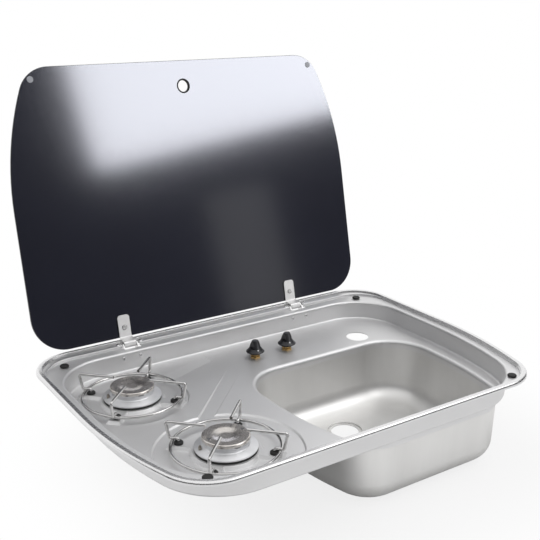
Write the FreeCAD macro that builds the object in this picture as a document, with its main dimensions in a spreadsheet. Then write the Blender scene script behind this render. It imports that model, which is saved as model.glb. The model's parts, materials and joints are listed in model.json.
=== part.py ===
import FreeCAD, Part
import Sketcher
import math
import os
from collections import namedtuple

# Two-burner gas hob and sink combination with a folding glass lid, in millimetres.
# X runs to the right, Y to the back and Z up. The origin is the middle of the worktop cut-out,
# in the plane of the worktop that the rim rests on.

SIZES = [
    ("overall_width", 600, "rim, left to right"),
    ("overall_depth", 425, "rim, front to back"),
    ("rim_height", 5, "rim top above the worktop"),
    ("steel", 1, "sheet thickness of the pressed top and the bowl"),
    ("rim_corner_back", 60, "plan radius of the rim's back corners"),
    ("rim_corner_front", 66, "plan radius of the rim's front corners"),
    ("side_bow", 600, "plan radius of the bowed sides"),
    ("bow_start", 10, "station where the straight sides start to bow"),
    ("rim_edge", 3.5, "rounding of the rim's outer edge"),
    ("flange", 8, "width of the flat rim top"),
    ("shelf_drop", 2.5, "shelf below the rim top"),
    ("shelf_side", 1, "shelf width at sides and front"),
    ("shelf_back", 12.5, "shelf width at the back"),
    ("ledge_drop", 6, "bumper ledge below the rim top"),
    ("ledge_side", 12, "ledge width at the sides"),
    ("ledge_front", 4.5, "ledge width at the front"),
    ("ledge_back", 19, "ledge width at the back"),
    ("well_corner_back", 75, "plan radius of the well's back corners"),
    ("well_corner_front", 90, "plan radius of the well's front corners"),
    ("well_edge", 4, "rounding of the edge between ledge and well"),
    ("well_radius", 3, "rounding between the well's wall and the hob floor"),
    ("press_edge", 0.8, "rounding of the small pressed steps"),
    ("floor_drop", 34, "hob floor below the rim top"),
    ("hob_width", 259, "rim's left edge to the bowl mouth"),
    ("bowl_right", 48, "bowl mouth to the rim's right edge"),
    ("bowl_deck", 149, "rim's back edge to the bowl mouth"),
    ("bowl_land", 0.5, "flat between the well's front bend and the bowl's lip"),
    ("bowl_corner_back", 62, "plan radius of the bowl's back corners"),
    ("bowl_corner_front", 56, "plan radius of the bowl's front corners"),
    ("bowl_bow", 520, "plan radius of the bowl's bowed sides"),
    ("bowl_straight", 83.5, "bowl mouth's back edge to the start of the bowed sides"),
    ("bowl_lip", 6, "rounding of the bowl mouth"),
    ("bowl_neck", 12, "depth of the drawn neck that the bowl is welded to"),
    ("bowl_drop", 126, "bowl floor below the rim top"),
    ("bowl_draft", 2, "draft of the bowl's wall, degrees"),
    ("bowl_radius", 28, "rounding between the bowl's wall and floor"),
    ("drain_shift", 8.7, "waste hole left of the bowl's middle"),
    ("drain_inset", 69, "waste hole before the bowl mouth's back edge"),
    ("drain_radius", 20.3, "waste hole radius"),
    ("drain_seat", 25, "radius of the sunk seat round the waste hole"),
    ("drain_sink", 2, "depth of the sunk seat"),
    ("tap_hole_inset", 104, "water tap hole from the rim's right edge"),
    ("tap_hole_deck", 29.5, "water tap hole behind the bowl mouth"),
    ("tap_hole_radius", 17.5, "water tap hole radius"),
    ("rear_side", 103.5, "rear burner from the rim's left edge"),
    ("rear_inset", 127.8, "rear burner from the rim's back edge"),
    ("front_inset", 110.2, "front burner from the rim's front edge"),
    ("front_aisle", 121, "front burner from the bowl mouth"),
    ("press_depth", 2, "depth of the pressed burner fields"),
    ("field_rear", 76, "radius of the rear burner's pressed field"),
    ("field_front", 92.5, "radius of the front burner's pressed field"),
    ("field_shift", 4.5, "front field's middle right of its burner"),
    ("field_slope", 2, "width of the sloped sides of a field"),
    ("channel_width", 21, "pressed channel from a burner field to its knob"),
    ("channel_rear_x", 39.3, "rear channel's start from its burner, left to right"),
    ("channel_rear_y", 22, "rear channel's start from its burner, front to back"),
    ("channel_rear_angle", 20, "rear channel's direction, degrees"),
    ("channel_rear_length", 121, "rear channel length"),
    ("channel_front_x", 2, "front channel's start from its burner, left to right"),
    ("channel_front_y", 67.3, "front channel's start from its burner, front to back"),
    ("channel_front_angle", 44.8, "front channel's direction, degrees"),
    ("channel_front_length", 180, "front channel length"),
    ("channel_front_fade", 130, "run over which the front channel fades out"),
    ("channel_rear_fade", 18, "width over which the rear channel fades out to the back"),
    ("boss_rise", 2, "raised disc and arms above the hob floor"),
    ("boss_radius", 41.5, "raised disc under a burner"),
    ("boss_slope", 3, "width of the sloped sides of a raised disc"),
    ("arm_width", 14, "raised arm under a support foot"),
    ("arm_margin", 10, "raised arm beyond the support foot"),
    ("burner_hole", 26, "floor hole under a burner"),
    ("seal_height", 3, "burner seal on the raised disc"),
    ("seal_width", 2.1, "burner seal width"),
    ("base_radius", 38.6, "burner base radius"),
    ("base_height", 7, "burner base height on its seal"),
    ("base_edge", 1.5, "upright edge of the burner base"),
    ("neck_radius", 28.4, "burner base radius under the port ring"),
    ("neck_height", 1, "upright neck of the burner base"),
    ("neck_corner", 1, "slanted corner of the burner base's neck"),
    ("head_height", 5.2, "height of the port ring"),
    ("head_step", 0.6, "port ring inside the burner base's top"),
    ("head_plug", 2, "port ring's depth inside the burner base"),
    ("head_bore", 15, "port ring's bore"),
    ("port_count", 22, "flame ports of a burner"),
    ("port_width", 2.2, "flame port width"),
    ("port_depth", 2.2, "flame port height"),
    ("port_length", 4, "flame port length"),
    ("cap_radius", 29.4, "burner cap radius"),
    ("cap_thickness", 4, "burner cap thickness"),
    ("cap_round", 2, "rounding of the burner cap's top edge"),
    ("cap_plug", 1.2, "burner cap's plug inside the port ring"),
    ("dish_radius", 18, "dish in the burner cap"),
    ("dish_floor", 8, "flat floor of the dish"),
    ("dish_depth", 2.2, "depth of the dish"),
    ("dish_round", 22, "soft bends of the dish"),
    ("cap_screw", 1.4, "cap screw radius"),
    ("cap_screw_head", 2.4, "cap screw head radius"),
    ("cap_screw_rise", 0.5, "cap screw head height"),
    ("cap_screw_grip", 4, "cap screw's depth in the port ring"),
    ("screw_reach", 23, "cap screws from the burner's axis"),
    ("cup_bore", 22, "mixing cup bore"),
    ("cup_wall", 1.5, "mixing cup wall"),
    ("cup_floor", 1, "mixing cup's floor below its tube"),
    ("cup_flange", 4, "mixing cup's flange under the floor"),
    ("tube_radius", 7, "mixing tube radius"),
    ("tube_drop", 12, "mixing tubes and feed pipes below the floor"),
    ("tube_reach", 58, "mixing tube's mouth from the burner's axis"),
    ("tab_gap", 12, "injector tab before the mixing tube's mouth"),
    ("tab_steel", 2, "injector tab thickness"),
    ("tab_width", 11.2, "injector tab width"),
    ("injector_flange", 5, "injector's flange length"),
    ("injector_length", 10, "injector behind its tab"),
    ("injector_seat", 6, "injector's solid length before the feed pipe"),
    ("couple_angle", 171, "thermocouple about the burner's axis, degrees"),
    ("couple_gap", 1.3, "thermocouple from the cup's flange"),
    ("couple_radius", 2, "thermocouple tip radius"),
    ("lead_radius", 1, "thermocouple lead radius"),
    ("lead_loop", 16, "straight end of a thermocouple lead"),
    ("couple_foot", 10, "thermocouple tip below the raised disc"),
    ("couple_height", 9.5, "thermocouple's upright tip above the raised disc"),
    ("couple_nose", 2, "thermocouple's tapered nose"),
    ("ring_lift", 6, "pan support ring above the floor"),
    ("foot_lift", 1, "support feet above the raised arms"),
    ("ring_radius", 66.5, "pan support ring, to the wire's middle"),
    ("wire_radius", 2, "pan support wire radius"),
    ("foot_inset", 7.5, "support foot inside the ring"),
    ("corner_outset", 8.5, "support finger's outer corner outside the ring"),
    ("corner_lean", 4.5, "lean of a support finger's upright"),
    ("shin_lift", 3, "support finger above the ring at its foot"),
    ("tip_reach", 25.5, "support finger's inner tip from the burner's axis"),
    ("support_drop", 4.6, "middle of the support fingers below the rim top"),
    ("grommet_radius", 5.7, "support grommet radius"),
    ("grommet_height", 3.4, "support grommet above the raised arms"),
    ("grommet_edge", 1.2, "chamfer of a support grommet"),
    ("knob_shift", 88.5, "left knob left of the bowl's middle"),
    ("knob_pitch", 57, "between the knobs"),
    ("knob_deck", 50, "knobs behind the bowl mouth"),
    ("knob_radius", 13.7, "knob's widest radius"),
    ("knob_height", 20.6, "knob height"),
    ("push_travel", 3.6, "knob push"),
    ("spindle_radius", 3, "tap spindle radius"),
    ("spindle_flat", 1, "depth of the spindle's flat"),
    ("spindle_stand", 4, "pushed spindle above the tap body's foot"),
    ("tap_neck", 5, "tap's threaded neck radius"),
    ("neck_overlap", 0.5, "tap neck inside the knob's hollow"),
    ("neck_gap", 0.5, "knob's hollow round the tap neck"),
    ("hollow_spare", 1.3, "knob's hollow beyond its push"),
    ("tap_radius", 12, "tap body radius"),
    ("tap_depth", 33, "tap body below the floor"),
    ("tap_roof", 12.4, "tap body's roof over the plug, below the floor"),
    ("tap_boss", 2, "gas connections beyond the tap body"),
    ("plug_radius", 7, "tap plug radius"),
    ("magnet_length", 21, "magnet unit below the tap body"),
    ("magnet_radius", 8, "magnet unit radius"),
    ("magnet_stub", 5, "magnet unit's end radius"),
    ("magnet_stub_length", 4, "magnet unit's end length"),
    ("magnet_taper", 2, "magnet unit's taper length"),
    ("nut_flats", 14, "tap nut across flats"),
    ("nut_height", 2.2, "tap nut height"),
    ("push_gap", 0.2, "pushed knob above the tap nut"),
    ("grip_width", 10.4, "knob grip between its flats"),
    ("grip_lift", 9, "flats of the grip above the knob's foot"),
    ("crown_wall", 5, "knob crown above the spindle"),
    ("run_gap", 0.05, "radial running clearance"),
    ("free_gap", 0.3, "radial clearance of parts that only pass through"),
    ("rail_radius", 6, "gas rail radius"),
    ("branch_radius", 5.5, "rail's branch radius"),
    ("pipe_radius", 4, "inlet pipe radius"),
    ("feed_radius", 3, "feed pipe radius"),
    ("feed_nut", 1.5, "gas connections wider than the feed pipe"),
    ("feed_bend", 8, "bend radius of feed pipes and leads"),
    ("feed_jog", 24, "slanted run of the rear feed pipe"),
    ("rail_overhang", 17, "rail beyond the taps"),
    ("inlet_run", 28, "inlet pipe beyond the rail"),
    ("inlet_drop", 50, "inlet pipe below the rail"),
    ("inlet_bend", 20, "inlet pipe's bend radius"),
    ("aisle", 10, "feed pipe from the bowl mouth"),
    ("lead_aisle", 16, "front thermocouple lead from the bowl mouth"),
    ("pipe_deck", 20, "feed pipe and lead behind the bowl mouth"),
    ("rail_drop", 22, "gas rail below the floor"),
    ("rail_offset", 22, "gas rail behind the taps"),
    ("lid_side", 18, "closed lid inside the rim at the sides"),
    ("lid_back", 17.2, "closed lid's hinge edge from the rim's back edge"),
    ("lid_front", 12.5, "closed lid's front edge from the rim's front edge"),
    ("lid_corner_back", 50, "lid's hinge corner radius"),
    ("lid_corner_front", 45, "lid's front corner radius"),
    ("lid_bow", 440, "plan radius of the lid's bowed sides"),
    ("lid_straight", 200.3, "lid's hinge edge to the start of its bowed sides"),
    ("glass", 4, "glass thickness"),
    ("glass_edge", 0.6, "chamfer of the glass edges"),
    ("lid_lift", 2, "closed glass underside below the rim top"),
    ("finger_radius", 11, "finger hole radius"),
    ("finger_inset", 38, "finger hole from the lid's front edge"),
    ("hinge_inset", 134.5, "hinge straps from the lid's side edges"),
    ("hinge_back", 7.6, "hinge axis from the rim's back edge"),
    ("hinge_drop", 6.5, "hinge axis below the rim top"),
    ("open_angle", 101.95, "lid opening, degrees"),
    ("pin_radius", 2, "hinge pin radius"),
    ("barrel_wall", 2.2, "hinge barrel wall"),
    ("strap_width", 18.5, "hinge strap width"),
    ("strap_steel", 1.5, "hinge strap and bracket thickness"),
    ("strap_bend", 2.4, "strap's bend radius, to the sheet's middle"),
    ("strap_corner", 4.625, "rounding of the strap's free corners"),
    ("strap_length", 33, "strap on the glass, from the hinge edge"),
    ("strap_flat", 4, "end of the strap's flat leaf from the hinge edge"),
    ("strap_elbow", 4.5, "strap's first bend beyond its flat leaf"),
    ("strap_heel", 4.2, "strap's lower bend before the hinge axis"),
    ("strap_screw", 14.4, "strap screw from the glass edge"),
    ("strap_dip", 10.5, "strap's bend below the hinge axis when closed"),
    ("screw_radius", 2, "strap screw radius"),
    ("screw_head", 1.4, "strap screw head height"),
    ("screw_head_radius", 4, "strap screw head radius"),
    ("screw_crown", 3.2, "strap screw head's flat radius"),
    ("lid_nut", 3.8, "strap nut height"),
    ("nut_dome", 1.2, "dome of a strap nut"),
    ("nut_radius", 5.2, "strap nut radius"),
    ("cheek_gap", 0.75, "strap to bracket cheek"),
    ("rivet_radius", 1.5, "hinge rivet radius"),
    ("rivet_tail", 1, "hinge rivet's closed end"),
    ("rivet_tail_radius", 2.55, "radius of a hinge rivet's closed end"),
    ("rivet_head", 3, "hinge rivet head radius"),
    ("rivet_dome", 1.2, "hinge rivet head height"),
    ("rivet_margin", 4.5, "shelf rivets from the hinge slot"),
    ("wall_rivet_shift", -7, "wall rivets' middle from the strap's middle"),
    ("wall_rivet_pitch", 26, "between the wall rivets"),
    ("wall_rivet_drop", 9, "wall rivets below the ledge"),
    ("gasket", 0.5, "gasket between strap and glass"),
    ("gasket_inset", 1.5, "gasket inside the strap's edges"),
    ("eye_wall", 2.5, "bracket's eye round the hinge pin"),
    ("cheek_front", 3, "bracket's cheek behind the hinge slot's front end"),
    ("cheek_slant", 12, "bracket cheek's full height behind the hinge slot's front end"),
    ("leg_length", 10, "bracket's leg below its wall rivets"),
    ("tab_margin", 4, "bracket's wings round their rivets"),
    ("pin_head", 1.2, "hinge pin head thickness"),
    ("pin_head_radius", 3, "hinge pin head radius"),
    ("slot_gap", 0.8, "hinge slot from the pin heads"),
    ("slot_front", 28.5, "hinge slot's front end from the rim's back edge"),
    ("slot_back", 3.5, "hinge slot's back end from the rim's back edge"),
    ("bumper_back_stand", 16.4, "back lid bumpers from the well's edge"),
    ("bumper_back_angle", 54.9, "back lid bumpers about the well's corner, degrees"),
    ("bumper_front_stand", 8.75, "front lid bumpers from the well's edge"),
    ("bumper_front_angle", -52.2, "front lid bumpers about the well's corner, degrees"),
    ("bumper_radius", 6.2, "lid bumper radius"),
    ("bumper_foot", 4.4, "lid bumper's foot radius"),
    ("bumper_foot_height", 0.8, "lid bumper's foot height"),
    ("bumper_flare", 0.3, "height over which a lid bumper widens from its foot"),
    ("bumper_edge", 1, "chamfer of a lid bumper"),
    ("bumper_back_height", 3.6, "back lid bumper height"),
    ("bumper_front_height", 3.1, "front lid bumper height"),
    ("pad_inset", 1.9, "clear lid pads from the lid's edge"),
    ("pad_angle", -47.5, "clear lid pads about the lid's corner, degrees"),
    ("pad_radius", 4.5, "clear lid pad radius"),
    ("pad_height", 0.6, "clear lid pad thickness"),
]

Vector = FreeCAD.Vector
Rotation = FreeCAD.Rotation
Placement = FreeCAD.Placement
UP = Vector(0, 0, 1)

doc = FreeCAD.newDocument("hob_and_sink")
sheet = doc.addObject("Spreadsheet::Sheet", "Sizes")
for row, (alias, value, note) in enumerate(SIZES, start=1):
    sheet.set("A%d" % row, note)
    sheet.set("B%d" % row, str(value))
    sheet.setAlias("B%d" % row, alias)
doc.recompute()


class Size:
    """A number together with the sheet formula that gives it."""

    def __init__(self, value, formula):
        self.value = float(value)
        self.formula = formula

    def combine(self, other, sign, value):
        return Size(value, "(%s %s %s)" % (self.formula, sign, as_size(other).formula))

    def __add__(self, other):
        return self.combine(other, "+", self.value + as_size(other).value)

    def __sub__(self, other):
        return self.combine(other, "-", self.value - as_size(other).value)

    def __mul__(self, other):
        return self.combine(other, "*", self.value * as_size(other).value)

    def __truediv__(self, other):
        return self.combine(other, "/", self.value / as_size(other).value)

    def __rsub__(self, other):
        return as_size(other) - self

    def __radd__(self, other):
        return as_size(other) + self

    def __neg__(self):
        return as_size(0) - self


def as_size(number):
    return number if isinstance(number, Size) else Size(number, "(%r)" % number)


def size(alias):
    return Size(sheet.get(alias), "Sizes." + alias)


def root(amount):
    return Size(math.sqrt(amount.value), "sqrt(%s)" % amount.formula)


def around(x, y, reach, angle):
    """The place at a reach and at an angle in degrees from x, y."""
    turn = math.radians(angle.value)
    along_x = Size(math.cos(turn), "cos(%s)" % angle.formula)
    along_y = Size(math.sin(turn), "sin(%s)" % angle.formula)
    return x + reach * along_x, y + reach * along_y


def bind(thing, prop, amount):
    thing.setExpression(prop, as_size(amount).formula)


def spot(x, y, z):
    return Vector(*(as_size(part).value for part in (x, y, z)))


# Plan outlines: straight back, straight front, straight sides that bow in towards the front.

Plan = namedtuple("Plan", "half_width back front back_corner front_corner bow bow_start")


def inset(plan, side, back, front):
    """The same outline moved inwards, by its own amount at the sides, the back and the front."""
    return Plan(plan.half_width - side, plan.back - back, plan.front + front, plan.back_corner - side,
                plan.front_corner - side, plan.bow - side, plan.bow_start)


def grow(plan, amount):
    return inset(plan, -amount, -amount, -amount)


def nose_middle(plan):
    """The middle of the right front corner's arc."""
    y = plan.front + plan.front_corner
    reach = plan.bow - plan.front_corner
    rise = y - plan.bow_start
    return plan.half_width - plan.bow + root(reach * reach - rise * rise), y


def plan_edges(plan):
    """Ten tangent edges, counter-clockwise from the start of the right side's bow."""
    half, back, front, corner, nose, bow, start = (part.value for part in plan)
    nose_x, nose_y = (part.value for part in nose_middle(plan))
    bow_x = half - bow
    turn = math.atan2(nose_y - start, nose_x - bow_x)

    def line(x0, y0, x1, y1):
        return Part.LineSegment(Vector(x0, y0, 0), Vector(x1, y1, 0))

    def arc(x, y, radius, first, last):
        return Part.ArcOfCircle(Part.Circle(Vector(x, y, 0), UP, radius), first, last)

    quarter = math.pi / 2
    return [
        line(half, start, half, back - corner),
        arc(half - corner, back - corner, corner, 0, quarter),
        line(half - corner, back, corner - half, back),
        arc(corner - half, back - corner, corner, quarter, 2 * quarter),
        line(-half, back - corner, -half, start),
        arc(-bow_x, start, bow, 2 * quarter, 2 * quarter - turn),
        arc(-nose_x, nose_y, nose, 2 * quarter - turn, 3 * quarter),
        line(-nose_x, front, nose_x, front),
        arc(nose_x, nose_y, nose, 3 * quarter, 4 * quarter + turn),
        arc(bow_x, start, bow, 4 * quarter + turn, 4 * quarter),
    ]


def plan_wire(plan, x, z):
    wire = Part.Wire([edge.toShape() for edge in plan_edges(plan)])
    wire.translate(spot(x, 0, z))
    return wire


# Bodies, sketches and features

def new_body(label):
    body = doc.addObject("PartDesign::Body", label)
    body.Label = label
    return body


def new_sketch(body, name, place=(0, 0, 0), role="XY_Plane"):
    sketch = body.newObject("Sketcher::SketchObject", body.Name + "_" + name)
    sketch.AttachmentSupport = [(next(f for f in body.Origin.OriginFeatures if f.Role == role), "")]
    sketch.MapMode = "FlatFace"
    sketch.AttachmentOffset = Placement(spot(*place), Rotation())
    for axis, amount in zip("xyz", place):
        bind(sketch, "AttachmentOffset.Base." + axis, amount)
    return sketch


def dimension(sketch, kind, where, amount):
    number = sketch.addConstraint(Sketcher.Constraint(kind, *where, as_size(amount).value))
    bind(sketch, "Constraints[%d]" % number, amount)


def hold_point(sketch, edge, end, x, y):
    """Fixes one end of an edge at x, y from the sketch's origin."""
    for kind, axis, amount in (("DistanceX", -2, x), ("DistanceY", -1, y)):
        if as_size(amount).value == 0:
            sketch.addConstraint(Sketcher.Constraint("PointOnObject", edge, end, axis))
        else:
            dimension(sketch, kind, (-1, 1, edge, end), amount)


def draw_plan(sketch, plan):
    right, back_right, back, back_left, left, bow_left, nose_left, front, nose_right, bow_right = range(10)
    sketch.addGeometry(plan_edges(plan), False)
    for edge in range(10):
        sketch.addConstraint(Sketcher.Constraint("Tangent", edge, 2, (edge + 1) % 10, 1))
    for edge in (right, left):
        sketch.addConstraint(Sketcher.Constraint("Vertical", edge))
    for edge in (back, front):
        sketch.addConstraint(Sketcher.Constraint("Horizontal", edge))
    for edges, radius in (((back_right, back_left), plan.back_corner),
                          ((nose_left, nose_right), plan.front_corner),
                          ((bow_left, bow_right), plan.bow)):
        for edge in edges:
            dimension(sketch, "Radius", (edge,), radius)
    hold_point(sketch, right, 1, plan.half_width, plan.bow_start)
    hold_point(sketch, left, 2, -plan.half_width, plan.bow_start)
    dimension(sketch, "DistanceY", (-1, 1, back, 1), plan.back)
    dimension(sketch, "DistanceY", (-1, 1, front, 1), plan.front)
    return sketch


def draw_polygon(sketch, points):
    corners = [spot(x, y, 0) for x, y in points]
    first = sketch.GeometryCount
    count = len(corners)
    for number in range(count):
        sketch.addGeometry(Part.LineSegment(corners[number], corners[(number + 1) % count]), False)
    for number in range(count):
        after = first + (number + 1) % count
        sketch.addConstraint(Sketcher.Constraint("Coincident", first + number, 2, after, 1))
    for number, (x, y) in enumerate(points):
        hold_point(sketch, first + number, 1, x, y)
    return sketch


def draw_circle(sketch, radius, x=0, y=0):
    middle = spot(x, y, 0)
    edge = sketch.addGeometry(Part.Circle(middle, UP, as_size(radius).value), False)
    dimension(sketch, "Radius", (edge,), radius)
    hold_point(sketch, edge, 3, x, y)
    return sketch


def feature(body, kind, sketch, length, reverse=False, draft=None, middle=False):
    made = body.newObject("PartDesign::" + kind, sketch.Name + "_" + kind.lower())
    made.Profile = sketch
    bind(made, "Length", length)
    made.Length = as_size(length).value
    made.Reversed = reverse
    if middle:
        made.SideType = "Symmetric"
    if draft is not None:
        made.TaperAngle = -draft.value
        bind(made, "TaperAngle", -draft)
    sketch.Visibility = False
    doc.recompute()
    return made


def pad(body, sketch, length, **how):
    return feature(body, "Pad", sketch, length, **how)


def pocket(body, sketch, length, **how):
    before = body.Shape.Volume
    made = feature(body, "Pocket", sketch, length, **how)
    if body.Shape.Volume >= before:
        raise RuntimeError(sketch.Name + " cuts nothing")
    return made


def revolve(body, sketch, kind="Revolution", axis="V_Axis"):
    made = body.newObject("PartDesign::" + kind, sketch.Name + "_turned")
    made.Profile = sketch
    made.ReferenceAxis = (sketch, [axis])
    made.Angle = 360
    doc.recompute()
    return made


def round_edges(body, radius, chosen, kind="Fillet"):
    base = body.Tip
    names = ["Edge%d" % number for number, edge in enumerate(base.Shape.Edges, start=1) if chosen(edge)]
    made = body.newObject("PartDesign::" + kind, "%s_round_%d" % (body.Name, len(body.Group)))
    made.Base = (base, names)
    prop = "Radius" if kind == "Fillet" else "Size"
    bind(made, prop, radius)
    doc.recompute()
    return made


def on_outline(plan, x, z):
    """Chooses the edges that run along a plan outline at one height."""
    level = as_size(z).value
    wire = plan_wire(plan, x, z)

    def chosen(edge):
        box = edge.BoundBox
        if abs(box.ZMin - level) > 0.01 or abs(box.ZMax - level) > 0.01:
            return False
        half = edge.valueAt((edge.FirstParameter + edge.LastParameter) / 2)
        return wire.distToShape(Part.Vertex(half))[0] < 0.05

    return chosen


def at_level(z):
    """Chooses the edges that lie flat at one height."""
    level = as_size(z).value
    return lambda edge: max(abs(edge.BoundBox.ZMin - level), abs(edge.BoundBox.ZMax - level)) < 0.01


def at_ring(radius, z):
    """Chooses the full circles of one radius at one height about the body's own Z axis."""
    want = as_size(radius).value
    level = as_size(z).value

    def chosen(edge):
        if not isinstance(edge.Curve, Part.Circle):
            return False
        return abs(edge.Curve.Radius - want) < 0.01 and abs(edge.Curve.Center.z - level) < 0.01

    return chosen


def turned(label, points, place=None, turn=Rotation()):
    """A body of revolution about its own Z axis, from radius and height points, set at its place."""
    body = new_body(label)
    revolve(body, draw_polygon(new_sketch(body, "profile", role="XZ_Plane"), points))
    body.Placement = Placement(Vector(), turn)
    if place is not None:
        set_place(body, place)
    return body


def set_place(thing, place):
    thing.Placement = Placement(spot(*place), thing.Placement.Rotation)
    for axis, amount in zip("xyz", place):
        bind(thing, "Placement.Base." + axis, amount)


def plain_feature(label, shape):
    made = doc.addObject("Part::Feature", label)
    made.Label = label
    made.Shape = shape
    return made


# Heights and plans that several pieces share

steel = size("steel")
rim_top = size("rim_height")
shelf_z = rim_top - size("shelf_drop")
ledge_z = rim_top - size("ledge_drop")
floor_z = rim_top - size("floor_drop")
shelf_under = shelf_z - steel
ledge_under = ledge_z - steel
floor_under = floor_z - steel
burner_z = floor_z + size("boss_rise")
bowl_z = rim_top - size("bowl_drop")
neck_z = floor_z - size("bowl_neck")

rim_plan = Plan(size("overall_width") / 2, size("overall_depth") / 2, -(size("overall_depth") / 2),
                size("rim_corner_back"), size("rim_corner_front"), size("side_bow"), size("bow_start"))
recess_plan = inset(rim_plan, size("flange"), size("flange"), size("flange"))
shelf_plan = inset(recess_plan, size("shelf_side"), size("shelf_back"), size("shelf_side"))
well_wide = inset(shelf_plan, size("ledge_side"), size("ledge_back"), size("ledge_front"))
well_plan = well_wide._replace(back_corner=size("well_corner_back"), front_corner=size("well_corner_front"))
mouth_left = size("hob_width") - rim_plan.half_width
mouth_right = rim_plan.half_width - size("bowl_right")
mouth_back = rim_plan.back - size("bowl_deck")
mouth_front = well_plan.front + size("well_radius") + size("bowl_lip") + size("bowl_land")
bowl_x = (mouth_left + mouth_right) / 2
bowl_plan = Plan((mouth_right - mouth_left) / 2, mouth_back, mouth_front, size("bowl_corner_back"),
                 size("bowl_corner_front"), size("bowl_bow"), mouth_back - size("bowl_straight"))
hinge_edge = rim_plan.back - size("lid_back")
lid_plan = Plan(rim_plan.half_width - size("lid_side"), hinge_edge, rim_plan.front + size("lid_front"),
                size("lid_corner_back"), size("lid_corner_front"), size("lid_bow"),
                hinge_edge - size("lid_straight"))

sides = {"left": -1, "right": 1}
burners = {"rear": (size("rear_side") - rim_plan.half_width, rim_plan.back - size("rear_inset")),
           "front": (mouth_left - size("front_aisle"), rim_plan.front + size("front_inset"))}
foot_reach = size("ring_radius") - size("foot_inset")
cup_collar = size("burner_hole") - size("free_gap")
couple_reach = cup_collar + size("cup_flange") + size("couple_gap") + size("couple_radius")
couple_hole = size("couple_radius") + size("free_gap")
knob_y = mouth_back + size("knob_deck")
knob_lift = size("nut_height") + size("push_travel") + size("push_gap")
taps = {"left": bowl_x - size("knob_shift"), "right": bowl_x - size("knob_shift") + size("knob_pitch")}
magnet_foot = floor_z - size("tap_depth") - size("magnet_length")

pin_y = rim_plan.back - size("hinge_back")
pin_z = rim_top - size("hinge_drop")
cheek_inner = size("strap_width") / 2 + size("cheek_gap")
cheek_outer = cheek_inner + size("strap_steel")
half_slot = cheek_outer + size("pin_head") + size("slot_gap")
slot_front = rim_plan.back - size("slot_front")
hinges = {side: (lid_plan.half_width - size("hinge_inset")) * sign for side, sign in sides.items()}
shelf_rivet_offsets = [(half_slot + size("rivet_margin")) * sign for sign in sides.values()]
shelf_rivet_y = recess_plan.back - size("shelf_back") / 2
half_pitch = size("wall_rivet_pitch") / 2
wall_rivet_offsets = [size("wall_rivet_shift") + half_pitch * sign for sign in sides.values()]
wall_rivet_z = ledge_z - size("wall_rivet_drop")


# Pressed stainless top

def press_tray():
    body = new_body("tray_press")

    def outline(name, plan, z, x=0):
        return draw_plan(new_sketch(body, name, (x, 0, z)), plan)

    well_shell = grow(well_plan, steel)
    neck_shell = grow(bowl_plan, steel)
    pad(body, outline("rim", rim_plan, 0), rim_top)
    hollow_plan = grow(rim_plan, -steel)
    pocket(body, outline("rim_hollow", hollow_plan, 0), rim_top - steel, reverse=True)
    round_edges(body, size("rim_edge") - steel, on_outline(hollow_plan, 0, rim_top - steel))
    round_edges(body, size("rim_edge"), on_outline(rim_plan, 0, rim_top))
    pad(body, outline("shelf_shell", grow(recess_plan, steel), rim_top - steel), size("shelf_drop"),
        reverse=True)
    pad(body, outline("ledge_shell", grow(shelf_plan, steel), shelf_z), shelf_z - ledge_under, reverse=True)
    pad(body, outline("well_shell", well_shell, ledge_z), ledge_z - floor_under, reverse=True)
    pad(body, outline("neck_shell", neck_shell, floor_z, bowl_x), floor_z - neck_z, reverse=True)

    # Hollow bends on the underside, each one sheet thickness off the bend on top
    round_edges(body, size("well_edge") - steel, on_outline(well_shell, 0, ledge_under))
    round_edges(body, size("bowl_lip") - steel, on_outline(neck_shell, bowl_x, floor_under))

    pocket(body, outline("recess", recess_plan, rim_top), rim_top - shelf_z)
    pocket(body, outline("ledge", shelf_plan, shelf_z), shelf_z - ledge_z)
    pocket(body, outline("well", well_plan, ledge_z), ledge_z - floor_z)
    pocket(body, outline("mouth", bowl_plan, floor_z, bowl_x), floor_z - neck_z)
    round_edges(body, size("well_radius"), on_outline(well_plan, 0, floor_z))
    round_edges(body, size("well_radius") + steel, on_outline(well_shell, 0, floor_under))
    round_edges(body, size("well_edge"), on_outline(well_plan, 0, ledge_z))
    round_edges(body, size("bowl_lip"), on_outline(bowl_plan, bowl_x, floor_z))
    round_edges(body, size("press_edge"), on_outline(recess_plan, 0, rim_top))
    round_edges(body, size("press_edge"), on_outline(shelf_plan, 0, shelf_z))

    # Holes in the hob floor
    through = steel * 2
    floor_holes = new_sketch(body, "floor_holes", (0, 0, floor_z))
    draw_circle(floor_holes, size("tap_hole_radius"), rim_plan.half_width - size("tap_hole_inset"),
                mouth_back + size("tap_hole_deck"))
    for x in taps.values():
        draw_circle(floor_holes, size("tap_neck") + size("free_gap"), x, knob_y)
    pocket(body, floor_holes, through)

    # Hinge slots, and the rivet holes beside them
    slot_back = rim_plan.back - size("slot_back")
    slots = new_sketch(body, "slots", (0, 0, rim_top))
    shelf_rivets = new_sketch(body, "shelf_rivets", (0, 0, shelf_z))
    wall_rivets = new_sketch(body, "wall_rivets", (0, 0, steel - well_plan.back), role="XZ_Plane")
    for hinge in hinges.values():
        draw_polygon(slots, [(hinge - half_slot, slot_front), (hinge + half_slot, slot_front),
                             (hinge + half_slot, slot_back), (hinge - half_slot, slot_back)])
        for offset in shelf_rivet_offsets:
            draw_circle(shelf_rivets, size("rivet_radius"), hinge + offset, shelf_rivet_y)
        for offset in wall_rivet_offsets:
            draw_circle(wall_rivets, size("rivet_radius"), hinge + offset, wall_rivet_z)
    pocket(body, slots, rim_top - ledge_under + steel)
    pocket(body, shelf_rivets, through)
    pocket(body, wall_rivets, through + steel)
    return body


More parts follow.
